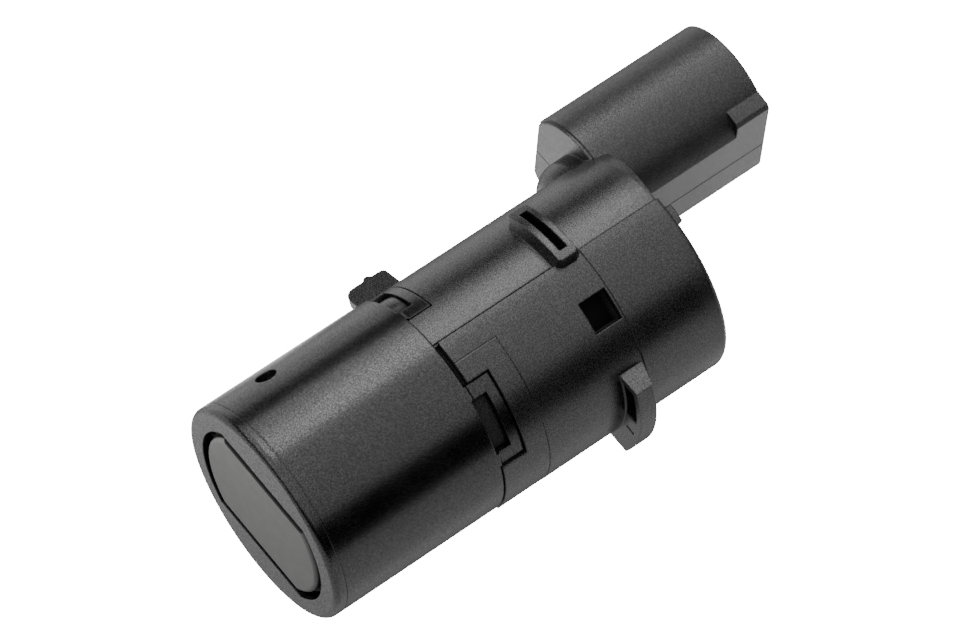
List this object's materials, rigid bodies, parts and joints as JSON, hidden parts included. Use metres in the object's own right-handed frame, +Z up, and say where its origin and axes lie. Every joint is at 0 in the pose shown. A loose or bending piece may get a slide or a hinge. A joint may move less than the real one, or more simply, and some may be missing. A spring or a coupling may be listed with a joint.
{
  "type": "parking sensor",
  "caption": "Round ultrasonic bumper sensor: a sleeve with an oblong flush sensing face snapped onto a rear housing with clips, a side hook and an offset plug socket.",
  "frame": {"origin": "centre of the sensing face, on the sensor's axis", "axes": "+Y along the sensor's axis from the sensing face back to the plug socket, +Z up, plug socket offset towards -X"},
  "size_m": [0.0324, 0.0668, 0.0266],
  "materials": {
    "sleeve_plastic": "fine satin moulded black",
    "housing_plastic": "fine satin moulded black",
    "cup_coating": "matte dark coating on aluminium",
    "silicone": "matte",
    "ceramic": "matte",
    "foam": "open-cell",
    "tinned_copper": "tinned",
    "board": "solder resist",
    "ferrite": "matte",
    "copper": "enamelled wire",
    "can": "satin",
    "chip": "matte",
    "potting": "cast, slightly glossy"
  },
  "bodies": {
    "root": {"front_sleeve": "sleeve_plastic", "rear_housing": "housing_plastic", "transducer_cup": "cup_coating", "decoupling_ring": "silicone", "piezo_disc": "ceramic", "damping_plug": "foam", "cup_sealant": "silicone", "isolation_pad": "foam", "hot_lead": "tinned_copper", "ground_lead": "tinned_copper", "terminal_1": "tinned_copper", "terminal_2": "tinned_copper", "terminal_3": "tinned_copper", "circuit_board": "board", "transformer_base": "housing_plastic", "transformer_core": "ferrite", "transformer_winding": "copper", "storage_capacitor": "can", "driver_chip": "chip", "clock_resonator": "ceramic", "chip_resistor_1": "chip", "ceramic_capacitor_1": "ceramic", "chip_resistor_2": "chip", "ceramic_capacitor_2": "ceramic", "chip_resistor_3": "chip", "ceramic_capacitor_3": "ceramic", "chip_resistor_4": "chip", "ceramic_capacitor_4": "ceramic", "potting_compound": "potting"}
  },
  "joints": []
}
